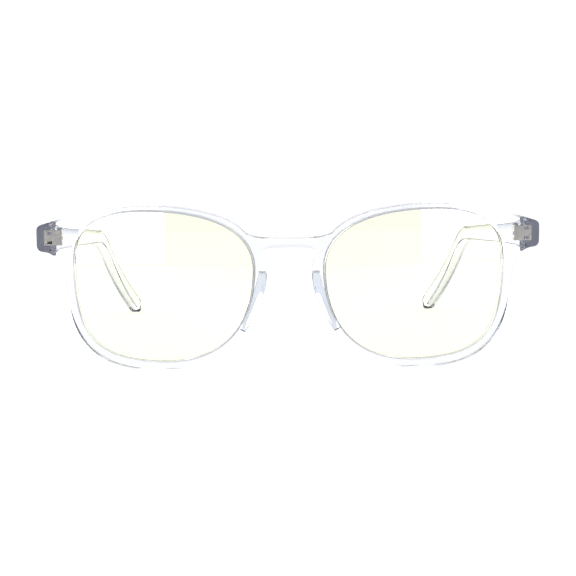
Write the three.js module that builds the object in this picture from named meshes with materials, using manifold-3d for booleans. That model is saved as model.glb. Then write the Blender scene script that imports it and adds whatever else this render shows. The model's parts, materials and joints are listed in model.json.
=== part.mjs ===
// Blue light glasses: a clear plastic frame with plano filter lenses, standing on a table on the
// lower edge of its rims and the two temple tips. Millimetres, +Z up, the front faces -Y and the
// temples run towards +Y. The bare letters u, v and w are the front's own axes before it is bent:
// u sideways from the midline, v up from the lens centres, w back from the front face.

import * as THREE from 'three';
import * as BufferGeometryUtils from 'three/addons/utils/BufferGeometryUtils.js';
import { LoftGeometry } from 'three/addons/geometries/LoftGeometry.js';
import Module from 'manifold-3d';

// ---------------------------------------------------------------- driving dimensions

const GAP = 0.3; // between pieces that touch

const FRONT_THICKNESS = 4.0;
const FRONT_BEND_RADIUS = 330; // the front wraps a little round the face
const FRONT_LEAN = THREE.MathUtils.degToRad(4); // top of the front leans forward on the table
const EDGE_ROUNDING = 0.6;
const LOWEST_V = -23.8; // lower edge of the rims

const GROOVE_DEPTH = 0.5; // how far a lens sits inside its rim
const LENS_THICKNESS = 2.0;
const LENS_CURVE_RADIUS = 150;
const LENS_EDGE_W = 2.0; // middle of the lens edge, behind the front face
const LENS_U = 35.3; // lens centre from the midline

const ENDPIECE_U = 70.6; // half of the overall width
const ENDPIECE_V = 13.2; // middle of the endpiece
const ENDPIECE_HEIGHT = 7.6;
const HINGE_V = 12.6; // the temples slope, so they leave a little lower
const BUTT_Y = 14.0; // the endpiece's butt face, where the temple meets it
const BUTT_INNER_X = 66.4;

const PIN_X = 64.7;
const PIN_RADIUS = 0.6;
const BARREL_RADIUS = 1.35;
const BARREL_HEIGHT = 1.15;
const BARREL_PITCH = BARREL_HEIGHT + GAP;
const LEAF_HEIGHT = 4.2;
const LEAF_THICKNESS = 0.9;

const TEMPLE_THICKNESS = 3.9;
const TEMPLE_SLOPE = THREE.MathUtils.degToRad(4); // the temples fall towards their tips
const TEMPLE_STRAIGHT = 94; // from the butt to the start of the ear bend
const EAR_BEND_RADIUS = 26;
const EAR_BEND = THREE.MathUtils.degToRad(40);
const EAR_TIP = 31.9; // straight length after the bend
const TEMPLE_HEIGHT = { butt: 7.4, middle: 5.8, bend: 5.0, tip: 6.2 };
const TEMPLE_TOE_IN = { bend: 4.4, tip: 15.0 }; // how far the temple has come in towards the head

const PAD_THICKNESS = 2.8;
const PAD_DEPTH = 6.0;
const PAD_SPLAY = 0.08; // sideways per mm of depth

// ---------------------------------------------------------------- outlines

// A closed outline of cubic curves: each row is first handle, second handle, end point.
function drawCurves(path, start, rows) {
  path.moveTo(...start);
  for (const row of rows) path.bezierCurveTo(...row);
  return path;
}

// The lens opening of the wearer's left side, between its highest, lowest and widest points.
function lensOutline(grow) {
  const top = [40, 20.9 + grow];
  const nasal = [10.2 - grow, 5];
  const bottom = [35.5, -21.2 - grow];
  const temporal = [60.4 + grow, 7.5];
  return [top, [
    [top[0] - 21, top[1], nasal[0], nasal[1] + 9, ...nasal],
    [nasal[0], nasal[1] - 16.5, bottom[0] - 16, bottom[1], ...bottom],
    [bottom[0] + 20.5, bottom[1], temporal[0], temporal[1] - 22, ...temporal],
    [temporal[0], temporal[1] + 6, top[0] + 17, top[1], ...top],
  ]];
}

const BRIDGE_TOP_V = 13.4;
const BRIDGE_BOTTOM_V = 10.9;
const NASAL_START = [6.2, 4.0];
const NASAL_EDGE = [6.2, -2.5, 9.3, -7.5, 13.0, -13.8]; // where the pad sits
const ENDPIECE_TOP_V = ENDPIECE_V + ENDPIECE_HEIGHT / 2;
const ENDPIECE_BOTTOM_V = ENDPIECE_V - ENDPIECE_HEIGHT / 2;

// Half of the front's outer edge, from under the bridge, round the rim and endpiece, to its top.
const HALF_FRONT = [
  [4.5, BRIDGE_BOTTOM_V, 7.3, 10.8, 7.4, 8.9], // keyhole shoulder
  [7.5, 7.4, 6.2, 6.4, ...NASAL_START],
  NASAL_EDGE,
  [15.6, -18.2, 20, LOWEST_V, 33, LOWEST_V],
  [37, LOWEST_V, 37, LOWEST_V, 38, LOWEST_V],
  [59, LOWEST_V, 62.2, -12.5, 63.6, 2.0], // temporal side
  [64.2, 6.0, 65.0, 8.7, 68.2, ENDPIECE_BOTTOM_V], // under the endpiece
  [69.8, ENDPIECE_BOTTOM_V, ENDPIECE_U, 10.0, ENDPIECE_U, 11.4],
  [ENDPIECE_U, 12.5, ENDPIECE_U, 13.8, ENDPIECE_U, 15.2],
  [ENDPIECE_U, 16.4, 70.0, ENDPIECE_TOP_V, 68.6, 17.4],
  [60.0, 20.4, 52.0, 22.7, 40, 22.7], // top of the endpiece and rim
  [27, 22.7, 16.2, 20.0, 12.2, 15.2],
  [10.6, BRIDGE_TOP_V, 6.0, BRIDGE_TOP_V, 0, BRIDGE_TOP_V],
];

function pointsOf(start, rows, divisions) {
  return drawCurves(new THREE.Path(), start, rows).getPoints(divisions).slice(0, -1);
}

// ---------------------------------------------------------------- solids

const wasm = await Module();
wasm.setup();

function toSolid(geometry) {
  const bare = new THREE.BufferGeometry();
  bare.setAttribute('position', geometry.attributes.position);
  bare.setIndex(geometry.index);
  const merged = BufferGeometryUtils.mergeVertices(bare, 1e-4);
  return new wasm.Manifold(new wasm.Mesh({
    numProp: 3,
    vertProperties: new Float32Array(merged.attributes.position.array),
    triVerts: new Uint32Array(merged.index.array),
  }));
}

function toGeometry(solid) {
  const mesh = solid.getMesh();
  const geometry = new THREE.BufferGeometry();
  geometry.setAttribute('position', new THREE.BufferAttribute(mesh.vertProperties, 3));
  geometry.setIndex(new THREE.BufferAttribute(mesh.triVerts, 1));
  geometry.computeVertexNormals();
  return geometry;
}

function eachVertex(geometry, change) {
  const positions = geometry.attributes.position;
  const point = new THREE.Vector3();
  for (let i = 0; i < positions.count; i += 1) {
    point.fromBufferAttribute(positions, i);
    change(point);
    positions.setXYZ(i, point.x, point.y, point.z);
  }
  return geometry;
}

// The front is drawn flat in u and v with w as its depth, then wrapped round an upright cylinder.
function wrap(point) {
  const angle = point.x / FRONT_BEND_RADIUS;
  const radius = FRONT_BEND_RADIUS - point.z;
  return point.set(radius * Math.sin(angle), FRONT_BEND_RADIUS - radius * Math.cos(angle), point.y);
}

function frontShape() {
  const right = pointsOf([0, BRIDGE_BOTTOM_V], HALF_FRONT, 9);
  const top = new THREE.Vector2(0, BRIDGE_TOP_V);
  const left = right.slice(1).reverse().map((p) => new THREE.Vector2(-p.x, p.y));
  const shape = new THREE.Shape([...right, top, ...left]);
  const opening = pointsOf(...lensOutline(0), 16);
  shape.holes.push(new THREE.Path(opening));
  shape.holes.push(new THREE.Path(opening.map((p) => new THREE.Vector2(-p.x, p.y)).reverse()));
  return shape;
}

// The same surface with each triangle's corners in the other order, so that its inside faces out.
function turnedOut(geometry) {
  const copy = geometry.index ? geometry.toNonIndexed() : geometry.clone();
  const positions = copy.attributes.position;
  const a = new THREE.Vector3();
  const b = new THREE.Vector3();
  for (let i = 0; i < positions.count; i += 3) {
    a.fromBufferAttribute(positions, i);
    b.fromBufferAttribute(positions, i + 1);
    positions.setXYZ(i, b.x, b.y, b.z);
    positions.setXYZ(i + 1, a.x, a.y, a.z);
  }
  copy.computeVertexNormals();
  return copy;
}

// The other half of a pair: the same piece mirrored in the midline.
function mirror(geometry) {
  return turnedOut(eachVertex(geometry.clone(), (p) => p.setX(-p.x)));
}

function box(x0, x1, y0, y1, z0, z1) {
  const geometry = new THREE.BoxGeometry(x1 - x0, y1 - y0, z1 - z0);
  return geometry.translate((x0 + x1) / 2, (y0 + y1) / 2, (z0 + z1) / 2);
}

function uprightCylinder(radius, z0, z1, sides = 28) {
  const geometry = new THREE.CylinderGeometry(radius, radius, z1 - z0, sides);
  return geometry.rotateX(Math.PI / 2).translate(0, 0, (z0 + z1) / 2);
}

function joined(geometries) {
  return geometries.map(toSolid).reduce((all, solid) => all.add(solid));
}

// ---------------------------------------------------------------- frames of reference

// The front group leans the wrapped front and lifts it onto the table.
const front = new THREE.Group();
front.rotation.x = FRONT_LEAN;
front.position.z = -LOWEST_V * Math.cos(FRONT_LEAN);
front.updateMatrixWorld();

// One group at each hinge: origin on the pin at the butt face, y along the temple, z along the pin.
function hingeGroup(side) {
  const group = new THREE.Group();
  group.position.set(side * PIN_X, BUTT_Y, HINGE_V).applyMatrix4(front.matrixWorld);
  group.rotation.x = -TEMPLE_SLOPE;
  group.updateMatrixWorld();
  return group;
}

const hinge = { left: hingeGroup(1), right: hingeGroup(-1) };
const hingeToFront = front.matrixWorld.clone().invert().multiply(hinge.left.matrixWorld);

// ---------------------------------------------------------------- lenses

// A curved blank cut to the lens outline. The lens frame has its origin at the middle of the lens
// and looks along -Y; clearance grows the solid into the groove that holds it.
function lensSolid(clearance) {
  const outline = pointsOf(...lensOutline(GROOVE_DEPTH + clearance), 14);
  const shape = new THREE.Shape(outline.map((p) => new THREE.Vector2(p.x - LENS_U, p.y)));
  const depth = 20;
  const prism = new THREE.ExtrudeGeometry(shape, { depth, bevelEnabled: false });
  prism.translate(0, 0, -depth / 2).rotateX(Math.PI / 2);
  const reach = 34;
  const rings = 12;
  const half = LENS_THICKNESS / 2 + clearance;
  const sag = (r) => LENS_CURVE_RADIUS - Math.sqrt(LENS_CURVE_RADIUS ** 2 - r ** 2);
  const profile = [];
  for (let i = 0; i <= rings; i += 1) {
    const r = (reach * i) / rings;
    profile.push(new THREE.Vector2(r, sag(r) - half));
  }
  for (let i = rings; i >= 0; i -= 1) {
    const r = (reach * i) / rings;
    profile.push(new THREE.Vector2(r, sag(r) + half));
  }
  const blank = new THREE.LatheGeometry(profile, 40);
  return toSolid(prism).intersect(toSolid(blank));
}

const LENS_VERTEX_W = LENS_EDGE_W - 1.3; // the middle of the lens stands forward of its edge

function placeLens(object, side) {
  object.position.copy(wrap(new THREE.Vector3(side * LENS_U, 0, LENS_VERTEX_W)));
  object.rotation.z = (side * LENS_U) / FRONT_BEND_RADIUS;
  object.updateMatrix();
  return object;
}

// ---------------------------------------------------------------- hinges, in the hinge frame

const PIN_HOLE_RADIUS = PIN_RADIUS + GAP;
const STACK_HALF = BARREL_PITCH + BARREL_HEIGHT / 2;

// The plate let into the endpiece, with a rib across its face and a keying slot above and below
// the rib, and the two barrels that stand out from its back.
const FRONT_PLATE = { x0: -1.4, x1: 3.6, y0: -4.9, y1: -4.9 + LEAF_THICKNESS };
const RIB = { x0: -0.9, x1: 3.3, height: 1.1, proud: 0.35 };
const KEY_SLOT = { x0: 1.4, x1: 2.8, level: 1.35, height: 0.8 };

function pinHole() {
  return toSolid(uprightCylinder(PIN_HOLE_RADIUS, -STACK_HALF - 1, STACK_HALF + 1));
}

function frontLeafSolid() {
  const { x0, x1, y0, y1 } = FRONT_PLATE;
  const half = BARREL_HEIGHT / 2;
  const pieces = [
    box(x0, x1, y0, y1, -LEAF_HEIGHT / 2, LEAF_HEIGHT / 2),
    box(RIB.x0, RIB.x1, y0 - RIB.proud, y1, -RIB.height / 2, RIB.height / 2),
  ];
  for (const z of [-BARREL_PITCH, BARREL_PITCH]) {
    pieces.push(uprightCylinder(BARREL_RADIUS, z - half, z + half));
    pieces.push(box(-BARREL_RADIUS, 0.4, y0 + 0.1, 0, z - half, z + half));
  }
  let leaf = joined(pieces).subtract(pinHole());
  for (const z of [-KEY_SLOT.level, KEY_SLOT.level]) {
    const reach = KEY_SLOT.height / 2;
    const slot = box(KEY_SLOT.x0, KEY_SLOT.x1, y0 - 1, y1 + 1, z - reach, z + reach);
    leaf = leaf.subtract(toSolid(slot));
  }
  return leaf;
}

// The plate let into the inner side of the temple, and its one barrel between the other two.
const TEMPLE_PLATE = { x0: 1.5, x1: 1.5 + LEAF_THICKNESS, y0: 1.2, y1: 9.4 };

function templeLeafSolid() {
  const { x0, x1, y0, y1 } = TEMPLE_PLATE;
  const half = BARREL_HEIGHT / 2;
  const pieces = [
    box(x0, x1, y0, y1, -LEAF_HEIGHT / 2, LEAF_HEIGHT / 2),
    uprightCylinder(BARREL_RADIUS, -half, half),
    box(-0.4, x0 + 0.2, 0.5, y0 + 1.2, -half, half),
  ];
  return joined(pieces).subtract(pinHole());
}

const SCREW_HEAD = { radius: 1.25, height: 0.55, slotWidth: 0.35, slotDepth: 0.3 };

function screwSolid() {
  const top = STACK_HALF + GAP;
  const head = uprightCylinder(SCREW_HEAD.radius, top, top + SCREW_HEAD.height);
  const shank = uprightCylinder(PIN_RADIUS, -STACK_HALF, top + SCREW_HEAD.height / 2, 20);
  const slot = box(-2, 2, -SCREW_HEAD.slotWidth / 2, SCREW_HEAD.slotWidth / 2,
    top + SCREW_HEAD.height - SCREW_HEAD.slotDepth, top + SCREW_HEAD.height + 1);
  return joined([head, shank]).subtract(toSolid(slot));
}

// ---------------------------------------------------------------- temples, in the hinge frame

const TEMPLE_X = ENDPIECE_U - PIN_X - TEMPLE_THICKNESS / 2;
const ARC_LENGTH = EAR_BEND_RADIUS * EAR_BEND;
const TEMPLE_LENGTH = TEMPLE_STRAIGHT + ARC_LENGTH + EAR_TIP;

// The temple's centre line seen from the side: straight, then an arc down behind the ear.
function templePoint(s) {
  const bent = THREE.MathUtils.clamp((s - TEMPLE_STRAIGHT) / EAR_BEND_RADIUS, 0, EAR_BEND);
  const rest = Math.max(0, s - TEMPLE_STRAIGHT - ARC_LENGTH);
  const y = Math.min(s, TEMPLE_STRAIGHT) + EAR_BEND_RADIUS * Math.sin(bent) + rest * Math.cos(bent);
  const z = -EAR_BEND_RADIUS * (1 - Math.cos(bent)) - rest * Math.sin(bent);
  const past = Math.max(0, s - TEMPLE_STRAIGHT) / (TEMPLE_LENGTH - TEMPLE_STRAIGHT);
  const straightToeIn = (TEMPLE_TOE_IN.bend * s) / TEMPLE_STRAIGHT;
  const tipToeIn = TEMPLE_TOE_IN.tip - (TEMPLE_TOE_IN.bend * TEMPLE_LENGTH) / TEMPLE_STRAIGHT;
  const x = TEMPLE_X - straightToeIn - tipToeIn * past ** 2;
  return { centre: new THREE.Vector3(x, y, z), up: new THREE.Vector3(0, Math.sin(bent), Math.cos(bent)) };
}

function templeHeight(s) {
  const { lerp, smoothstep } = THREE.MathUtils;
  const { butt, middle, bend, tip } = TEMPLE_HEIGHT;
  const half = TEMPLE_STRAIGHT / 2;
  if (s < half) return lerp(butt, middle, smoothstep(s, 0, half));
  if (s < TEMPLE_STRAIGHT) return lerp(middle, bend, smoothstep(s, half, TEMPLE_STRAIGHT));
  return lerp(bend, tip, smoothstep(s, TEMPLE_STRAIGHT, TEMPLE_LENGTH));
}

// A rectangle with rounded corners, as offsets across (x) and up (y), counterclockwise.
function roundedRectangle(width, height, round, steps) {
  const points = [];
  for (let corner = 0; corner < 4; corner += 1) {
    const x = (corner === 1 || corner === 2 ? -1 : 1) * (width / 2 - round);
    const y = (corner < 2 ? 1 : -1) * (height / 2 - round);
    for (let i = 0; i <= steps; i += 1) {
      const angle = ((corner + i / steps) * Math.PI) / 2;
      points.push(new THREE.Vector2(x + round * Math.cos(angle), y + round * Math.sin(angle)));
    }
  }
  return points;
}

function templeGeometry() {
  const stations = [];
  for (let s = GAP / 2; s < 20; s += 6) stations.push(s);
  for (let s = 20; s < TEMPLE_STRAIGHT; s += 12) stations.push(s);
  for (let s = TEMPLE_STRAIGHT; s < TEMPLE_LENGTH - 4; s += 3) stations.push(s);
  const tipRound = 2.8;
  const tipSteps = 5;
  for (let i = 0; i <= tipSteps; i += 1) {
    stations.push(TEMPLE_LENGTH - tipRound * (1 - Math.sin(((i / tipSteps) * 0.46 * Math.PI))));
  }
  const sections = stations.map((s) => {
    const { centre, up } = templePoint(s);
    const intoTip = Math.max(0, 1 - (TEMPLE_LENGTH - s) / tipRound);
    const taper = 0.25 + 0.75 * Math.sqrt(1 - intoTip ** 2);
    const height = templeHeight(s) * taper;
    const width = TEMPLE_THICKNESS * (0.4 + 0.6 * taper);
    const round = Math.min(EDGE_ROUNDING, height / 2.2);
    return roundedRectangle(width, height, round, 3).map((p) => centre.clone()
      .add(new THREE.Vector3(p.x, 0, 0)).addScaledVector(up, p.y));
  });
  return new LoftGeometry(sections.map((points) => points.reverse()), { capStart: true, capEnd: true });
}

function templeSolid() {
  const { x0, x1, y0, y1 } = TEMPLE_PLATE;
  const half = LEAF_HEIGHT / 2 + GAP;
  const pocket = box(x0 - 2, x1 + GAP, y0 - GAP, y1 + GAP, -half, half);
  return toSolid(templeGeometry()).subtract(toSolid(pocket));
}

// ---------------------------------------------------------------- the front and its pads

// The block at each end of the front, in the hinge frame: it turns back to meet the temple.
function endpieceBlock() {
  const round = 1.2;
  const depth = 7.0;
  const width = ENDPIECE_U - BUTT_INNER_X + round; // the inner two roundings are cut away again
  const section = roundedRectangle(width, ENDPIECE_HEIGHT, round, 4);
  const block = new THREE.ExtrudeGeometry(new THREE.Shape(section), { depth, bevelEnabled: false });
  block.rotateX(Math.PI / 2);
  block.translate(ENDPIECE_U - PIN_X - width / 2, -GAP / 2, 0);
  const inner = BUTT_INNER_X - PIN_X;
  return toSolid(block).subtract(toSolid(box(inner - round, inner, -2 * depth, depth, -10, 10)));
}

// Room in the front for the hinge leaf: for its plate and rib, and for the barrels behind them.
function leafPockets() {
  const { x0, x1, y0, y1 } = FRONT_PLATE;
  const half = LEAF_HEIGHT / 2 + GAP;
  const reach = BARREL_RADIUS + GAP;
  return [
    box(x0 - GAP, x1 + GAP, y0 - RIB.proud - GAP, y1 + GAP, -half, half),
    box(-reach, reach, y0, reach, -half, half),
  ];
}

function frontSolid() {
  const bar = new THREE.ExtrudeGeometry(frontShape(), {
    depth: FRONT_THICKNESS - 2 * EDGE_ROUNDING,
    bevelThickness: EDGE_ROUNDING,
    bevelSize: EDGE_ROUNDING,
    bevelOffset: -EDGE_ROUNDING,
    bevelSegments: 2,
  });
  bar.translate(0, 0, EDGE_ROUNDING);
  // Wrapping swaps two axes, which turns the bar inside out.
  let solid = toSolid(turnedOut(eachVertex(bar, wrap)));
  const block = toGeometry(endpieceBlock()).applyMatrix4(hingeToFront);
  const pockets = leafPockets().map((pocket) => pocket.applyMatrix4(hingeToFront));
  const groove = toGeometry(lensSolid(GAP)).applyMatrix4(placeLens(new THREE.Object3D(), 1).matrix);
  for (const form of [(g) => g, mirror]) {
    solid = solid.add(toSolid(form(block)));
    for (const pocket of pockets) solid = solid.subtract(toSolid(form(pocket)));
    solid = solid.subtract(toSolid(form(groove)));
  }
  return solid;
}

// A nose pad: a blade on the back of the rim along its nasal side, deepest in its upper half.
function padGeometry() {
  const edge = drawCurves(new THREE.Path(), NASAL_START, [NASAL_EDGE]).curves[0];
  const sections = [];
  const steps = 16;
  for (let i = 0; i <= steps; i += 1) {
    const t = 0.03 + (0.94 * i) / steps;
    const at = edge.getPoint(t);
    const along = edge.getTangent(t);
    const across = new THREE.Vector2(-along.y, along.x);
    const fullness = Math.sqrt(Math.sin(Math.PI * (0.12 + 0.84 * (i / steps))));
    const depth = PAD_DEPTH * fullness;
    const thickness = PAD_THICKNESS * (0.45 + 0.55 * fullness);
    const ring = roundedRectangle(thickness, depth, Math.min(thickness, depth) * 0.35, 3);
    sections.push(ring.reverse().map((p) => {
      const w = FRONT_THICKNESS + GAP + depth / 2 + p.y;
      const splay = PAD_SPLAY * (w - FRONT_THICKNESS);
      const inward = 0.15 + thickness / 2 + p.x + splay;
      return wrap(new THREE.Vector3(at.x + across.x * inward, at.y + across.y * inward, w));
    }));
  }
  return new LoftGeometry(sections, { capStart: true, capEnd: true });
}

// ---------------------------------------------------------------- assembly

const clearPlastic = () => new THREE.MeshStandardMaterial({
  color: 0xf2f6f8, roughness: 0.08, metalness: 0, transparent: true, opacity: 0.35,
});
const filterLens = () => new THREE.MeshStandardMaterial({
  color: 0xfdfdec, roughness: 0.02, metalness: 0, transparent: true, opacity: 0.2,
});
const nickelSilver = () => new THREE.MeshStandardMaterial({ color: 0xb9b1a3, roughness: 0.3, metalness: 1 });
const steel = () => new THREE.MeshStandardMaterial({ color: 0x9a9ca0, roughness: 0.25, metalness: 1 });

function named(name, geometry, material) {
  const mesh = new THREE.Mesh(geometry, material);
  mesh.name = name;
  return mesh;
}

const group = new THREE.Group();
group.add(front);
front.add(named('front_frame', toGeometry(frontSolid()), clearPlastic()));

const lens = toGeometry(lensSolid(0));
const pad = toGeometry(toSolid(padGeometry()));
const frontLeaf = toGeometry(frontLeafSolid());
const templeLeaf = toGeometry(templeLeafSolid());
const screw = toGeometry(screwSolid());
const temple = toGeometry(templeSolid());

for (const [sideName, side] of [['left', 1], ['right', -1]]) {
  const handed = (geometry) => (side > 0 ? geometry : mirror(geometry));
  front.add(placeLens(named(`lens_${sideName}`, handed(lens), filterLens()), side));
  front.add(named(`nose_pad_${sideName}`, handed(pad), clearPlastic()));
  const at = hinge[sideName];
  at.add(named(`front_hinge_leaf_${sideName}`, handed(frontLeaf), nickelSilver()));
  at.add(named(`temple_hinge_leaf_${sideName}`, handed(templeLeaf), nickelSilver()));
  at.add(named(`hinge_screw_${sideName}`, handed(screw), steel()));
  at.add(named(`temple_${sideName}`, handed(temple), clearPlastic()));
  group.add(at);
}

// The origin is at the middle of the whole, on the table.
const size = new THREE.Box3().setFromObject(group, true);
const middle = size.getCenter(new THREE.Vector3());
group.position.set(-middle.x, -middle.y, -size.min.z);

export default group;
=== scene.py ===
"""Blue light glasses: a clear polished plastic frame with faintly yellow filter lenses, standing
open on a lit white table in a small daylight studio."""

import json
from math import atan2, cos, pi, radians, sin

import bmesh
import bpy
import numpy as np
from mathutils import Euler, Matrix


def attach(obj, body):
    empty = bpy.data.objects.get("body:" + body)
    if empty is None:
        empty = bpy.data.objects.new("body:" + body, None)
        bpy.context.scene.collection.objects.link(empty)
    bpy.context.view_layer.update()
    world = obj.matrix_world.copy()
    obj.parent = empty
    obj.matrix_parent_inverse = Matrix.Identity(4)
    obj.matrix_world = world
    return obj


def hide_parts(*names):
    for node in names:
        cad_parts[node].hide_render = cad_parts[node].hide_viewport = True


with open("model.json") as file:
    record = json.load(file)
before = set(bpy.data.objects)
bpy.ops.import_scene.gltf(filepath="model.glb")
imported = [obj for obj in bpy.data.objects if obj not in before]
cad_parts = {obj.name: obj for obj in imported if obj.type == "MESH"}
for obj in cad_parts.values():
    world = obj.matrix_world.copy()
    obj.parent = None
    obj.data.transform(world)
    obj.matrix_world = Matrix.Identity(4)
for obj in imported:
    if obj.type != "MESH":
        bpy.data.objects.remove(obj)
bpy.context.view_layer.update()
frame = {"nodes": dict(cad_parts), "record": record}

MM = 0.001

# The design's own dimensions, in millimetres and radians. u runs sideways from the midline, v up
# from the lens centres and w back from the front face, before the front is bent round the face.
THICKNESS = 4.0
BEND_RADIUS = 330.0
LEAN = radians(4.0)
ROUNDING = 0.6
GAP = 0.3
LENS_U = 35.3
LENS_VERTEX_W = 0.7
LENS_THICKNESS = 2.0
LENS_CURVE_RADIUS = 150.0
GROOVE_DEPTH = 0.5
HINGE = np.array([64.7, 14.0, 12.6])
ENDPIECE_U = 70.6
BUTT_INNER_U = 66.8
TEMPLE_THICKNESS = 3.9
TEMPLE_STRAIGHT = 94.0
TEMPLE_HEIGHT = 7.4
TEMPLE_THINS_BY = (1.6, 0.8)
TIP_GROWS_BY = 1.2
EAR_BEND_RADIUS = 26.0
EAR_BEND = radians(40.0)
EAR_TIP = 31.9
EAR_ROUNDING = 1.0
PAD_THICKNESS = 2.8
PAD_DEPTH = 6.0
PAD_SPLAY = 0.08

# The glue line that holds a pad, and the play of a lens in its groove.
PAD_SEAT = 0.05
GROOVE_PLAY = 0.1

# The stretches of u over which the front thickens to its butt face, its depth turns to run along
# the temple, and its width goes back to the flat design's.
TO_BUTT = (65.2, 66.9)
TURNING = (60.0, 66.0)
WIDENING = (63.0, 70.0)

# The numbers that a face's finish goes by.
POLISHED, CUT = 0, 1

# ------------------------------------------------------------------ camera

CAMERA_PLACE = (-0.0082, -0.501, 0.0683)
CAMERA_PITCH, CAMERA_YAW, CAMERA_ROLL = radians(6.0), radians(1.04), radians(0.55)
CAMERA_LENS = 97.1

camera = bpy.data.objects.new("camera", bpy.data.cameras.new("camera"))
camera.data.lens = CAMERA_LENS
turn = Euler((pi / 2 - CAMERA_PITCH, 0, -CAMERA_YAW)).to_matrix()
turn = turn @ Matrix.Rotation(-CAMERA_ROLL, 3, "Z")
camera.matrix_world = Matrix.Translation(CAMERA_PLACE) @ turn.to_4x4()
bpy.context.collection.objects.link(camera)
bpy.context.scene.camera = camera

# ------------------------------------------------------------------ outlines

BRIDGE_TOP, BRIDGE_BOTTOM = (0.0, 13.4), (0.0, 10.9)
BRIDGE_TOP_END, BRIDGE_BOTTOM_END = (12.2, 15.2), (7.4, 8.9)
LOWEST_V = -23.8
NASAL_START = (6.2, 4.0)
NASAL_EDGE = [(6.2, -2.5), (9.3, -7.5), (13.0, -13.8)]

# The outer edge of the left rim and endpiece, clockwise from where the bridge's top leaves it to
# where the bridge's underside does. Each row is two handles, an end, and the direction in degrees
# from the lens centre of the point on the lens opening that faces that end.
RIM_STARTS_AT = 140
RIM_EDGE = [
    ((16.2, 20.0), (27.0, 22.7), (40.0, 22.7), 80),
    ((52.0, 22.7), (60.0, 20.4), (68.6, 17.4), 34),
    ((70.0, 17.0), (ENDPIECE_U, 16.4), (ENDPIECE_U, 15.2), 29),
    ((ENDPIECE_U, 13.8), (ENDPIECE_U, 12.5), (ENDPIECE_U, 11.4), 24),
    ((ENDPIECE_U, 10.0), (69.8, 9.4), (68.2, 9.4), 21),
    ((65.0, 8.7), (64.2, 6.0), (63.6, 2.0), 2),
    ((62.2, -12.5), (59.0, LOWEST_V), (38.0, LOWEST_V), -84),
    ((37.0, LOWEST_V), (35.0, LOWEST_V), (33.0, LOWEST_V), -96),
    ((20.0, LOWEST_V), (15.6, -18.2), NASAL_EDGE[2], -144),
    (NASAL_EDGE[1], NASAL_EDGE[0], NASAL_START, -186),
    ((6.2, 6.4), (7.5, 7.4), BRIDGE_BOTTOM_END, -195),
]


def cubic(start, handle_a, handle_b, end, t):
    """Points of a cubic curve: its ends and handles weighted by the four binomial shares of t."""
    a, b, c, d = map(np.asarray, (start, handle_a, handle_b, end))
    t = np.asarray(t)[:, None]
    return (1 - t) ** 3 * a + 3 * t * (1 - t) ** 2 * b + 3 * t**2 * (1 - t) * c + t**3 * d


def evenly(points, extra, spacing):
    """A polyline and a value along it, taken again at even steps of arc length."""
    length = np.append(0, np.cumsum(np.linalg.norm(np.diff(points, axis=0), axis=1)))
    at = np.linspace(0, length[-1], int(length[-1] / spacing) + 1)
    again = np.column_stack([np.interp(at, length, column) for column in points.T])
    return again, np.interp(at, length, extra)


def rim_edge(spacing=0.5):
    """The rim's outer edge as points, and the direction that each faces the lens opening in."""
    start, facing = BRIDGE_TOP_END, RIM_STARTS_AT
    t = np.linspace(0, 1, 120, endpoint=False)
    points, angles = [], []
    for handle_a, handle_b, end, end_facing in RIM_EDGE:
        points.append(cubic(start, handle_a, handle_b, end, t))
        angles.append(facing + (end_facing - facing) * t)
        start, facing = end, end_facing
    points, angles = np.vstack([*points, [start]]), np.append(np.concatenate(angles), facing)
    return evenly(points, angles, spacing)


def lens_opening():
    """The lens opening about the lens centre, as four cubic quarters between its highest, nasal,
    lowest and temporal points, with its outward normals and the direction of each point."""
    top, nasal, bottom, temporal = (40, 20.9), (10.2, 5), (35.5, -21.2), (60.4, 7.5)
    quarters = [
        (top, (19, 20.9), (10.2, 14), nasal),
        (nasal, (10.2, -11.5), (19.5, -21.2), bottom),
        (bottom, (56, -21.2), (60.4, -14.5), temporal),
        (temporal, (60.4, 13.5), (57, 20.9), top),
    ]
    t = np.linspace(0, 1, 250, endpoint=False)
    curve = np.vstack([cubic(*quarter, t) for quarter in quarters]) - [LENS_U, 0]
    step = np.roll(curve, -1, axis=0) - np.roll(curve, 1, axis=0)
    normal = np.column_stack([step[:, 1], -step[:, 0]])
    normal /= np.linalg.norm(normal, axis=1)[:, None]
    return curve, normal, np.unwrap(np.arctan2(curve[:, 1], curve[:, 0]))


OPENING, OPENING_NORMAL, OPENING_ANGLE = lens_opening()


def opening_at(degrees):
    """The opening's points and outward normals in these directions from the lens centre."""
    angle = np.mod(np.radians(degrees) - OPENING_ANGLE[0], 2 * pi) + OPENING_ANGLE[0]
    known = np.append(OPENING_ANGLE, OPENING_ANGLE[0] + 2 * pi)
    columns = np.column_stack([OPENING, OPENING_NORMAL])
    found = [np.interp(angle, known, np.append(column, column[0])) for column in columns.T]
    points, normals = np.column_stack(found[:2]), np.column_stack(found[2:])
    return points, normals / np.linalg.norm(normals, axis=1)[:, None]


def distance_to(points, line):
    """The distance of each point to a polyline: to the nearest point of its nearest segment."""
    start, step = line[:-1], np.diff(line, axis=0)
    away = points[:, None, :] - start
    share = np.clip((away * step).sum(-1) / (step**2).sum(-1), 0, 1)
    return np.linalg.norm(away - share[..., None] * step, axis=-1).min(1)


# ------------------------------------------------------------------ places


def smooth(value, low, high):
    """0 below low, 1 above high, and an S-curve with level ends between them."""
    t = np.clip((value - low) / (high - low), 0, 1)
    return t * t * (3 - 2 * t)


fold = frame["record"]["behaviour"]["joints"][0]
TEMPLE_SLOPE = atan2(*fold["axis"][1:])
HINGE_PLACE = np.array(fold["pos_m"])


def turn_x(points, angle):
    """Points turned about the x axis."""
    matrix = np.array([[1, 0, 0], [0, cos(angle), -sin(angle)], [0, sin(angle), cos(angle)]])
    return points @ matrix.T


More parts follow.
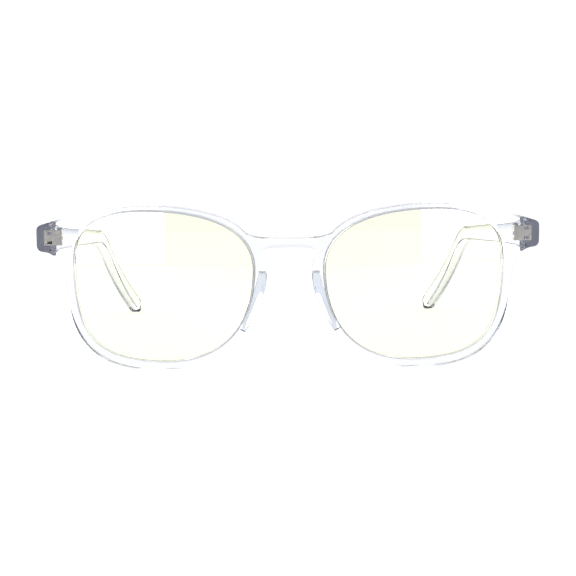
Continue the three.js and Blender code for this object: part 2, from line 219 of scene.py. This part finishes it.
FRONT_PLACE = HINGE_PLACE - turn_x(HINGE * MM, LEAN)
ALONG_TEMPLE = turn_x(np.array([0.0, 1.0, 0.0]), -TEMPLE_SLOPE - LEAN)


def from_front(points):
    """Millimetres in the front's own frame to metres on the table: leaned and lifted."""
    return turn_x(points * MM, LEAN) + FRONT_PLACE


def from_hinge(points):
    """Millimetres at the left hinge, y along the temple, to metres on the table."""
    return turn_x(points * MM, -TEMPLE_SLOPE) + HINGE_PLACE


def face_at(u, v):
    """The bent front face: u wrapped round an upright cylinder."""
    angle = u / BEND_RADIUS
    return np.stack([BEND_RADIUS * np.sin(angle), BEND_RADIUS * (1 - np.cos(angle)), v], -1)


def depth_at(u, v):
    """How thick the front is: even over the rims, and back to the butt face at the endpiece."""
    to_butt = (HINGE - face_at(u, v)) @ ALONG_TEMPLE - GAP / 2
    return THICKNESS + (to_butt - THICKNESS) * smooth(u, *TO_BUTT)


def bend(u, v, w):
    """The front's place for u, v and w. Depth runs along the cylinder's radius over the rims, and
    turns to run along the temple at the endpiece, which widens again what the bend took in."""
    angle, face = u / BEND_RADIUS, face_at(u, v)
    radial = np.stack([-np.sin(angle), np.cos(angle), np.zeros_like(u)], -1)
    share = smooth(u, *TURNING)
    depth = radial * (1 - share[..., None]) + ALONG_TEMPLE * share[..., None]
    place = face + w[..., None] * depth
    place[..., 0] += smooth(u, *WIDENING) * (u - face[..., 0])
    return place


# ------------------------------------------------------------------ meshes


def grid_quads(rows, cols, start=0, closed=False):
    """The quads of a grid of vertices numbered row by row, with its last row joined to its first
    where it is closed."""
    index = start + np.arange(rows * cols).reshape(rows, cols)
    if closed:
        index = np.vstack([index, index[:1]])
    corners = index[:-1, :-1], index[1:, :-1], index[1:, 1:], index[:-1, 1:]
    return np.stack(corners, -1).reshape(-1, 4)


class Shell:
    """Grids of points collected into one closed surface. Each face has its finish: polished, or
    cut where it is left as it was milled or ground."""

    def __init__(self):
        self.points, self.faces, self.finish, self.count = [], [], [], 0

    def add(self, grid, closed=False, finish=POLISHED):
        """Adds a grid, with one finish or with each face's taken from its first corner."""
        rows, cols = grid.shape[:2]
        finish = np.broadcast_to(finish, (rows, cols))[: None if closed else -1, :-1]
        self.points.append(grid.reshape(-1, 3))
        self.faces.append(grid_quads(rows, cols, self.count, closed))
        self.finish += finish.ravel().tolist()
        self.count += rows * cols

    def cap(self, ring, finish=POLISHED):
        """Closes a ring with triangles to its middle."""
        count = len(ring)
        around = self.count + np.arange(count)
        middle = np.full(count, self.count + count)
        self.points += [ring, ring.mean(0)[None]]
        self.faces.append(np.stack([around, np.roll(around, -1), middle], -1))
        self.finish += [finish] * count
        self.count += count + 1

    def both_halves(self):
        """Adds the mirror image in the midline."""
        points = np.vstack(self.points)
        self.faces += [block[:, ::-1] + self.count for block in self.faces]
        self.finish += self.finish
        self.points = [points, points * [-1, 1, 1]]
        self.count *= 2


def settle(piece, materials, node):
    """Gives a piece its finishes and its part in the assembly."""
    bodies = frame["record"]["behaviour"]["bodies"]
    for material in materials:
        piece.data.materials.append(material)
    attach(piece, next(body for body, nodes in bodies.items() if node in nodes))
    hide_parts(node)
    return piece


def make_piece(name, shell, side, materials, node, sharp=35):
    """A collected surface, in metres, as a piece of the left (1) or right (-1) side: its doubles
    merged, its faces turned outwards, and its edges sharp above an angle in degrees."""
    mesh = bpy.data.meshes.new(name)
    points = np.vstack(shell.points) * [side, 1, 1]
    faces = [face for block in shell.faces for face in block.tolist()]
    mesh.from_pydata(points.tolist(), [], faces)
    mesh.polygons.foreach_set("material_index", np.array(shell.finish, dtype=np.int32))
    skin = bmesh.new()
    skin.from_mesh(mesh)
    bmesh.ops.remove_doubles(skin, verts=skin.verts, dist=2e-7)
    bmesh.ops.dissolve_degenerate(skin, edges=skin.edges, dist=1e-8)
    bmesh.ops.recalc_face_normals(skin, faces=skin.faces)
    skin.to_mesh(mesh)
    skin.free()
    mesh.polygons.foreach_set("use_smooth", np.ones(len(mesh.polygons), dtype=bool))
    mesh.set_sharp_from_angle(angle=radians(sharp))
    piece = bpy.data.objects.new(name, mesh)
    bpy.context.collection.objects.link(piece)
    return settle(piece, materials, node)


# ------------------------------------------------------------------ the front

QUARTER_TURN = np.linspace(0, pi / 2, 6)


def ruled(start, end, inner=18):
    """Straight lines from each start to its end, stepped finely where the edges are rounded."""
    length = np.linalg.norm(end - start, axis=1)[:, None]
    near = np.minimum(ROUNDING, 0.45 * length) * (1 - np.cos(QUARTER_TURN))
    middle = near[:, -1:] + (length - 2 * near[:, -1:]) * np.linspace(0, 1, inner + 1)[1:-1]
    share = np.hstack([near, middle, (length - near)[:, ::-1]]) / length
    return start[:, None] + (end - start)[:, None] * share[..., None]


def lens_edge_w(offset):
    """Where the middle of a lens's edge lies in the front's depth, for an offset from its centre:
    the lens's own sag less the bend of the front."""
    sag = (offset**2).sum(-1) / (2 * LENS_CURVE_RADIUS)
    return LENS_VERTEX_W + sag - offset[..., 0] ** 2 / (2 * BEND_RADIUS)


def front_shell():
    """The frame front. Its faces are ruled from the lens opening to the rim's outer edge, and
    across the bridge from its underside to its top. Within the rounding r of an edge at distance
    d they drop by r - sqrt(r^2 - (r - d)^2), and upright walls join front to back, with a groove
    for the lens."""
    edge, facing = rim_edge()
    steps = np.linspace(0, 1, 40)
    top = cubic(BRIDGE_TOP_END, (10.6, 13.4), (6.0, 13.4), BRIDGE_TOP, steps)
    under = cubic(BRIDGE_BOTTOM_END, (7.3, 10.8), (4.5, 10.9), BRIDGE_BOTTOM, steps)
    bridge = ruled(under, top)
    seam = bridge[0, 1:-1]
    rise = np.linspace(RIM_EDGE[-1][3], RIM_STARTS_AT - 360, len(seam) + 2)[1:-1]
    opening, normal = opening_at(np.append(facing, rise))
    opening_uv = opening + [LENS_U, 0]
    rim = ruled(opening_uv, np.vstack([edge, seam]))
    outline = np.vstack([top[::-1], edge[1:], under[1:]])
    ring = np.vstack([OPENING, OPENING[:1]]) + [LENS_U, 0]

    def faces(flat):
        u, v = flat[..., 0], flat[..., 1]
        points = flat.reshape(-1, 2)
        near = np.minimum(distance_to(points, outline), distance_to(points, ring))
        inside = np.clip(ROUNDING - near.reshape(u.shape), 0, ROUNDING)
        drop = ROUNDING - np.sqrt(ROUNDING**2 - inside**2)
        return [bend(u, v, w) for w in (drop, depth_at(u, v) - drop)]

    def wall(line, levels):
        u, v = (np.repeat(line[:, i : i + 1], levels.shape[1], axis=1) for i in (0, 1))
        return bend(u, v, levels)

    shell = Shell()
    for flat, closed in ((rim, True), (bridge, False)):
        front_grid, back_grid = faces(flat)
        shell.add(from_front(front_grid), closed)
        shell.add(from_front(back_grid), closed, flat[..., 0] > BUTT_INNER_U)
    for line in (edge, top, under):
        depth = depth_at(line[:, 0], line[:, 1])[:, None]
        share = np.linspace(0, 1, 6)
        shell.add(from_front(wall(line, ROUNDING + (depth - 2 * ROUNDING) * share)))
    middle = lens_edge_w(opening)[:, None]
    half = LENS_THICKNESS / 2 + GROOVE_PLAY
    lip, sunk = opening_uv, opening_uv + normal * (GROOVE_DEPTH + GROOVE_PLAY)
    front_side, back_side = middle - half, middle + half
    start, end = np.full_like(middle, ROUNDING), np.full_like(middle, THICKNESS - ROUNDING)
    shell.add(from_front(wall(lip, np.hstack([start, front_side]))), True)
    shell.add(from_front(wall(sunk, front_side + 2 * half * np.linspace(0, 1, 5))), True, CUT)
    shell.add(from_front(wall(lip, np.hstack([back_side, end]))), True)
    for level in (front_side, back_side):
        step = np.stack([wall(lip, level)[:, 0], wall(sunk, level)[:, 0]], 1)
        shell.add(from_front(step), True)
    shell.both_halves()
    return shell


# ------------------------------------------------------------------ lenses


def lens_shell():
    """A lens: rings from its centre out to the opening's outline grown into the groove. Both
    faces stand back from the middle by the same sag, R - sqrt(R^2 - r^2), and the ground edge
    between them has a fine bevel."""
    bevel = 0.12
    rim = OPENING[::4] + OPENING_NORMAL[::4] * GROOVE_DEPTH
    inset = OPENING[::4] + OPENING_NORMAL[::4] * (GROOVE_DEPTH - bevel)
    share = np.linspace(0, 1, 30)[:, None, None]
    half = LENS_THICKNESS / 2

    def placed(flat, shift):
        r2 = (flat**2).sum(-1)
        y = LENS_CURVE_RADIUS - np.sqrt(LENS_CURVE_RADIUS**2 - r2) + shift
        angle = LENS_U / BEND_RADIUS
        x = flat[..., 0] * cos(angle) - y * sin(angle)
        y = flat[..., 0] * sin(angle) + y * cos(angle)
        middle = bend(np.array(LENS_U), np.array(0.0), np.array(LENS_VERTEX_W))
        return from_front(np.stack([x, y, flat[..., 1]], -1) + middle)

    shell = Shell()
    for side in (-1, 1):
        face = placed(inset * share, side * half)
        shell.add(face.transpose(1, 0, 2), True)
    for side in (-1, 1):
        edges = [placed(inset, side * half), placed(rim, side * (half - bevel))]
        shell.add(np.stack(edges, 1), True, CUT)
    shell.add(np.stack([placed(rim, side * (half - bevel)) for side in (-1, 1)], 1), True, CUT)
    return shell


# ------------------------------------------------------------------ temples and pads


def rounded_rectangle(width, height, radius, steps=6):
    """A rectangle with rounded corners as offsets across and up, one row for each width: a
    corner's centre plus its radius turned through a quarter."""
    corner = np.repeat(np.arange(4), steps + 1)
    angle = (corner + np.tile(np.linspace(0, 1, steps + 1), 4)) * pi / 2
    side_x = np.where((corner == 1) | (corner == 2), -1, 1)
    side_y = np.where(corner < 2, 1, -1)
    width, height, radius = (np.atleast_1d(value)[:, None] for value in (width, height, radius))
    across = side_x * (width / 2 - radius) + radius * np.cos(angle)
    return across, side_y * (height / 2 - radius) + radius * np.sin(angle)


def lofted(rings, first_finish=POLISHED):
    """A closed surface through rings of points, with both ends capped."""
    shell = Shell()
    shell.add(rings.transpose(1, 0, 2), True)
    shell.cap(rings[0], first_finish)
    shell.cap(rings[-1])
    return shell


def temple_shell():
    """A temple: rounded rectangles along a line that runs straight, turns down through an arc
    behind the ear and runs on straight to a round tip, coming in towards the head on the way."""
    arc = EAR_BEND_RADIUS * EAR_BEND
    length = TEMPLE_STRAIGHT + arc + EAR_TIP
    butt, tip = 0.25, 2.8
    s = np.concatenate([
        GAP / 2 + butt * (1 - np.cos(QUARTER_TURN)),
        np.linspace(GAP / 2 + butt, length - tip, 150)[1:],
        length - tip * (1 - np.sin(np.linspace(0, 0.49 * pi, 14)[1:])),
    ])
    bent = np.clip((s - TEMPLE_STRAIGHT) / EAR_BEND_RADIUS, 0, EAR_BEND)
    rest = np.clip(s - TEMPLE_STRAIGHT - arc, 0, None)
    past = np.clip(s - TEMPLE_STRAIGHT, 0, None) / (length - TEMPLE_STRAIGHT)
    bend_toe_in, tip_toe_in = 4.4, 15.0
    slant = bend_toe_in / TEMPLE_STRAIGHT
    x = ENDPIECE_U - HINGE[0] - TEMPLE_THICKNESS / 2 - slant * s
    x -= (tip_toe_in - slant * length) * past**2
    y = np.minimum(s, TEMPLE_STRAIGHT) + EAR_BEND_RADIUS * np.sin(bent) + rest * np.cos(bent)
    z = -EAR_BEND_RADIUS * (1 - np.cos(bent)) - rest * np.sin(bent)
    halfway = TEMPLE_STRAIGHT / 2
    height = TEMPLE_HEIGHT - TEMPLE_THINS_BY[0] * smooth(s, 0, halfway)
    height = height - TEMPLE_THINS_BY[1] * smooth(s, halfway, TEMPLE_STRAIGHT)
    height = height + TIP_GROWS_BY * smooth(s, TEMPLE_STRAIGHT, length)
    into_tip = np.clip(1 - (length - s) / tip, 0, 1)
    taper = 0.25 + 0.75 * np.sqrt(1 - into_tip**2)
    inset = butt - np.sqrt(butt**2 - np.clip(butt + GAP / 2 - s, 0, butt) ** 2)
    height, width = height * taper - 2 * inset, TEMPLE_THICKNESS * (0.4 + 0.6 * taper) - 2 * inset
    rounding = ROUNDING + (EAR_ROUNDING - ROUNDING) * smooth(s, 30, TEMPLE_STRAIGHT)
    rounding = np.minimum(rounding, np.minimum(width, height) / 2.1)
    across, up = rounded_rectangle(width, height, rounding)
    rings = np.stack([
        x[:, None] + across,
        y[:, None] + up * np.sin(bent)[:, None],
        z[:, None] + up * np.cos(bent)[:, None],
    ], -1)
    return lofted(from_hinge(rings), CUT)


def pad_shell():
    """A nose pad: a blade along the rim's nasal side, its depth and thickness following the root
    of a sine so that it is deepest in its upper half, and splayed towards the back."""
    share = np.linspace(0, 1, 70)
    t = 0.03 + 0.94 * share
    edge = (NASAL_START, *NASAL_EDGE)
    at, ahead, behind = (cubic(*edge, t + step) for step in (0, 0.001, -0.001))
    along = (ahead - behind) / np.linalg.norm(ahead - behind, axis=1)[:, None]
    fullness = np.sqrt(np.sin(pi * (0.12 + 0.84 * share)))
    depth, thickness = PAD_DEPTH * fullness, PAD_THICKNESS * (0.45 + 0.55 * fullness)
    across, back = rounded_rectangle(thickness, depth, np.minimum(thickness, depth) * 0.35)
    w = THICKNESS + PAD_SEAT + depth[:, None] / 2 + back
    inward = 0.15 + thickness[:, None] / 2 + across + PAD_SPLAY * (w - THICKNESS)
    u = at[:, :1] - along[:, 1:] * inward
    v = at[:, 1:] + along[:, :1] * inward
    return lofted(from_front(bend(u, v, w)))


def metal_piece(name, node, material, bevel):
    """A hinge part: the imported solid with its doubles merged, its flat faces made whole and its
    edges broken by a fine bevel."""
    mesh = frame["nodes"][node].data.copy()
    mesh.name = name
    mesh.materials.clear()
    metal = bmesh.new()
    metal.from_mesh(mesh)
    bmesh.ops.remove_doubles(metal, verts=metal.verts, dist=1e-6)
    bmesh.ops.dissolve_limit(metal, angle_limit=radians(1), verts=metal.verts, edges=metal.edges)
    metal.to_mesh(mesh)
    metal.free()
    mesh.polygons.foreach_set("use_smooth", np.ones(len(mesh.polygons), dtype=bool))
    piece = bpy.data.objects.new(name, mesh)
    bpy.context.collection.objects.link(piece)
    broken = piece.modifiers.new("broken_edges", "BEVEL")
    broken.width, broken.segments, broken.angle_limit = bevel * MM, 2, radians(40)
    broken.use_clamp_overlap = False
    broken.harden_normals = True
    return settle(piece, [material], node)


# ------------------------------------------------------------------ finishes


def linear(colour):
    """An sRGB hex colour as linear red, green, blue and a full alpha."""
    channels = np.array([int(colour[i : i + 2], 16) for i in (1, 3, 5)]) / 255
    curved = ((channels + 0.055) / 1.055) ** 2.4
    return (*np.where(channels <= 0.04045, channels / 12.92, curved).tolist(), 1.0)


def add_node(tree, kind, settings=(), links=()):
    """Adds a node. Settings name its properties or input sockets; links give the sockets that
    feed its inputs."""
    node = tree.nodes.new("ShaderNode" + kind)
    for key, value in dict(settings).items():
        if isinstance(key, str) and hasattr(node, key):
            setattr(node, key, value)
        else:
            node.inputs[key].default_value = value
    for key, socket in dict(links).items():
        tree.links.new(socket, node.inputs[key])
    return node


def new_material(name):
    """An empty material with its node tree and output."""
    material = bpy.data.materials.new(name)
    material.use_nodes = True
    material.node_tree.nodes.clear()
    return material, material.node_tree, add_node(material.node_tree, "OutputMaterial")


def clear_plastic(name, depth_colour, density, roughness, ripple_mm, ripple_height_mm):
    """Clear cellulose plastic: water-clear across its thickness and cool grey where the eye looks
    along it, with the long faint ripple that tumbling leaves."""
    material, tree, output = new_material(name)
    place = add_node(tree, "TexCoord").outputs["Object"]
    ripple = add_node(tree, "TexNoise", {"Scale": 1 / (ripple_mm * MM), "Detail": 2.0},
                      {"Vector": place})
    haze = add_node(tree, "MapRange", {"To Min": roughness * 0.6, "To Max": roughness * 1.6},
                    {"Value": ripple.outputs["Fac"]})
    bump = add_node(tree, "Bump", {"Strength": 1.0, "Distance": ripple_height_mm * MM},
                    {"Height": ripple.outputs["Fac"]})
    shader = add_node(
        tree, "BsdfPrincipled",
        {"Base Color": linear("#FBFDFD"), "IOR": 1.49, "Transmission Weight": 1.0},
        {"Roughness": haze.outputs["Result"], "Normal": bump.outputs["Normal"]},
    )
    body = add_node(tree, "VolumeAbsorption", {"Color": linear(depth_colour), "Density": density})
    tree.links.new(shader.outputs["BSDF"], output.inputs["Surface"])
    tree.links.new(body.outputs["Volume"], output.inputs["Volume"])
    return material


def coated_lens():
    """Polycarbonate with a blue-violet filter coat: what passes is a little yellow, and what
    reflects is violet. Dipping leaves the coat faintly uneven from top to bottom."""
    material, tree, output = new_material("coated_polycarbonate")
    place = add_node(tree, "TexCoord").outputs["Object"]
    dip = add_node(tree, "TexNoise", {"Scale": 1 / (30 * MM), "Detail": 1.0}, {"Vector": place})
    tint = add_node(tree, "Mix", {"data_type": "RGBA", 6: linear("#FFFFEB"), 7: linear("#FEFFE8")},
                    {0: dip.outputs["Fac"]})
    shader = add_node(
        tree, "BsdfPrincipled",
        {"IOR": 1.586, "Transmission Weight": 1.0, "Roughness": 0.0,
         "Specular Tint": linear("#7A78D0")},
        {"Base Color": tint.outputs[2]},
    )
    tree.links.new(shader.outputs["BSDF"], output.inputs["Surface"])
    return material


def cut_plastic(name, colour, ior, roughness):
    """Clear plastic as a cutter or grinding wheel leaves it: a fine matt that passes half the
    light and scatters the rest, so it shows as a grey line or patch in the clear plastic.
    Its grit is drawn at 0.4 mm, coarser than the tool's, so that it shows."""
    material, tree, output = new_material(name)
    place = add_node(tree, "TexCoord").outputs["Object"]
    grit = add_node(tree, "TexNoise", {"Scale": 1 / (0.4 * MM), "Detail": 2.0},
                    {"Vector": place})
    bump = add_node(tree, "Bump", {"Strength": 0.5, "Distance": 0.02 * MM},
                    {"Height": grit.outputs["Fac"]})
    shader = add_node(
        tree, "BsdfPrincipled",
        {"Base Color": linear(colour), "IOR": ior, "Transmission Weight": 0.5,
         "Roughness": roughness},
        {"Normal": bump.outputs["Normal"]},
    )
    tree.links.new(shader.outputs["BSDF"], output.inputs["Surface"])
    return material


def worked_metal(name, colour, worn_colour, roughness, grain_mm, grain_stretch):
    """Bare metal with the fine lines of its last tool: grain stretched along one way, in tone,
    roughness and height."""
    material, tree, output = new_material(name)
    place = add_node(tree, "TexCoord").outputs["Object"]
    lines = add_node(tree, "Mapping", {"Scale": grain_stretch}, {"Vector": place})
    grain = add_node(tree, "TexNoise", {"Scale": 1 / (grain_mm * MM), "Detail": 3.0},
                     {"Vector": lines.outputs["Vector"]})
    tone = add_node(tree, "Mix", {"data_type": "RGBA", 6: linear(colour), 7: linear(worn_colour)},
                    {0: grain.outputs["Fac"]})
    rough = add_node(tree, "MapRange", {"To Min": roughness * 0.7, "To Max": roughness * 1.5},
                     {"Value": grain.outputs["Fac"]})
    bump = add_node(tree, "Bump", {"Strength": 0.6, "Distance": 0.01 * MM},
                    {"Height": grain.outputs["Fac"]})
    shader = add_node(
        tree, "BsdfPrincipled", {"Metallic": 1.0},
        {"Base Color": tone.outputs[2], "Roughness": rough.outputs["Result"],
         "Normal": bump.outputs["Normal"]},
    )
    tree.links.new(shader.outputs["BSDF"], output.inputs["Surface"])
    return material


def lit_acrylic():
    """Matt white acrylic lit from below, with its fine tooth: shadows on it stay pale."""
    material, tree, output = new_material("lit_white_acrylic")
    place = add_node(tree, "TexCoord").outputs["Object"]
    tooth = add_node(tree, "TexNoise", {"Scale": 1 / (0.8 * MM), "Detail": 2.0},
                     {"Vector": place})
    bump = add_node(tree, "Bump", {"Strength": 0.05, "Distance": 0.02 * MM},
                    {"Height": tooth.outputs["Fac"]})
    shader = add_node(
        tree, "BsdfPrincipled",
        {"Base Color": linear("#8C8C8C"), "Roughness": 0.9, "Specular IOR Level": 0.1,
         "Emission Color": linear("#FFFFFF"), "Emission Strength": 0.83},
        {"Normal": bump.outputs["Normal"]},
    )
    tree.links.new(shader.outputs["BSDF"], output.inputs["Surface"])
    return material


# Tumbled and polished acetate: a clear body with a cool grey where it is deep.
crystal = clear_plastic("polished_clear_acetate", "#B4BAD6", 45.0, 0.012, 9.0, 0.004)
# The pads' softer acetate, less polished: bluer and a little clouded.
pad_crystal = clear_plastic("satin_clear_acetate", "#8E9CC0", 60.0, 0.05, 5.0, 0.004)
# Acetate straight from the cutter: a grey butt face and a fine line round the lens.
milled = cut_plastic("milled_clear_acetate", "#E8E8F2", 1.49, 0.5)
lens_finish = coated_lens()
# Polycarbonate off the edging wheel: a thin pale rim to the lens.
lens_edge = cut_plastic("ground_polycarbonate", "#DCDCE8", 1.586, 0.45)
# Nickel silver stamped from sheet: warm grey, with rolling lines and a dull shine.
nickel = worked_metal("stamped_nickel_silver", "#F8F5EE", "#E2DCCE", 0.6, 0.5, (1.0, 6.0, 1.0))
# Steel turned on a lathe: cooler and brighter than the leaves, with fine rings.
steel = worked_metal("turned_screw_steel", "#B4B6BB", "#8C8E94", 0.22, 0.3, (1.0, 1.0, 6.0))

# ------------------------------------------------------------------ the assembly

make_piece("frame_front", front_shell(), 1, [crystal, milled], "front_frame")
lens, pad, temple = lens_shell(), pad_shell(), temple_shell()
for side_name, side in (("left", 1), ("right", -1)):
    make_piece(f"filter_lens_{side_name}", lens, side, [lens_finish, lens_edge],
               f"lens_{side_name}")
    make_piece(f"pad_{side_name}", pad, side, [pad_crystal],
               f"nose_pad_{side_name}")
    make_piece(f"temple_arm_{side_name}", temple, side, [crystal, milled],
               f"temple_{side_name}")
    for leaf in ("front", "temple"):
        metal_piece(f"{leaf}_leaf_{side_name}", f"{leaf}_hinge_leaf_{side_name}", nickel,
                    0.05)
    metal_piece(f"screw_{side_name}", f"hinge_screw_{side_name}", steel, 0.05)

# ------------------------------------------------------------------ the studio


DAYLIGHT = (1.04, 1.04, 1.04, 1)
DUSK = (0.13, 0.14, 0.22, 1)


def light_table():
    """The table: a wide square of lit acrylic under the rims."""
    reach = 6.0
    corners = [(-reach, -reach, 0), (reach, -reach, 0), (reach, reach, 0), (-reach, reach, 0)]
    mesh = bpy.data.meshes.new("table")
    mesh.from_pydata(corners, [], [(0, 1, 2, 3)])
    mesh.materials.append(lit_acrylic())
    table = bpy.data.objects.new("table", mesh)
    bpy.context.collection.objects.link(table)


def softbox(name, place, aim, width, height, brightness):
    """A rectangular area light at a place, facing a point. Its power is its brightness times pi
    times its area."""
    light = bpy.data.lights.new(name, "AREA")
    light.shape, light.size, light.size_y = "RECTANGLE", width, height
    light.energy = brightness * pi * width * height
    lamp = bpy.data.objects.new(name, light)
    z = np.array(place) - np.array(aim)
    z /= np.linalg.norm(z)
    x = np.cross([0, 0, 1], z) if abs(z[2]) < 0.99 else np.array([1.0, 0, 0])
    x /= np.linalg.norm(x)
    matrix = Matrix(np.column_stack([x, np.cross(z, x), z]).tolist()).to_4x4()
    matrix.translation = place
    lamp.matrix_world = matrix
    bpy.context.collection.objects.link(lamp)


def studio_walls():
    """The white room round the table. Low down it is dim at the front and at each side, and
    those parts draw the lines along the clear plastic's edges. The eye itself sees plain white
    beyond the table."""
    world = bpy.data.worlds.new("studio")
    bpy.context.scene.world = world
    world.use_nodes = True
    tree = world.node_tree
    tree.nodes.clear()
    place = add_node(tree, "TexCoord").outputs["Generated"]
    axes = add_node(tree, "SeparateXYZ", links={"Vector": place})
    aside = add_node(tree, "Math", {"operation": "ABSOLUTE"}, {0: axes.outputs["X"]})
    behind = add_node(tree, "MapRange", {"From Min": -0.1, "From Max": -0.5},
                      {"Value": axes.outputs["Y"]})
    beside = add_node(tree, "MapRange", {"From Min": 0.6, "From Max": 0.85},
                      {"Value": aside.outputs[0]})
    dim = add_node(tree, "Math", {"operation": "MAXIMUM"},
                   {0: behind.outputs["Result"], 1: beside.outputs["Result"]})
    low = add_node(tree, "MapRange", {"From Min": 0.65, "From Max": 0.4},
                   {"Value": axes.outputs["Z"]})
    share = add_node(tree, "Math", {"operation": "MULTIPLY"},
                     {0: dim.outputs[0], 1: low.outputs["Result"]})
    tone = add_node(tree, "Mix", {"data_type": "RGBA", 6: DAYLIGHT, 7: DUSK},
                    {0: share.outputs[0]})
    seen = add_node(tree, "LightPath").outputs["Is Camera Ray"]
    plain = add_node(tree, "Mix", {"data_type": "RGBA", 7: DAYLIGHT},
                     {0: seen, 6: tone.outputs[2]})
    light = add_node(tree, "Background", links={"Color": plain.outputs[2]})
    output = add_node(tree, "OutputWorld")
    tree.links.new(light.outputs["Background"], output.inputs["Surface"])


light_table()
studio_walls()
softbox("overhead_softbox", (0, 0.1, 1.2), (0, 0, 0), 1.2, 1.2, 0.6)
for side_name, x in (("left", 0.372), ("right", -0.355)):
    softbox(f"back_softbox_{side_name}", (x, 0.26, 0.401), (x, 0, 0.401), 0.6, 0.8, 1.25)
bpy.context.scene.view_settings.view_transform = "Standard"
# Light that enters a temple's end is turned back by its sides many times before it leaves.
bpy.context.scene.cycles.max_bounces = bpy.context.scene.cycles.transmission_bounces = 28
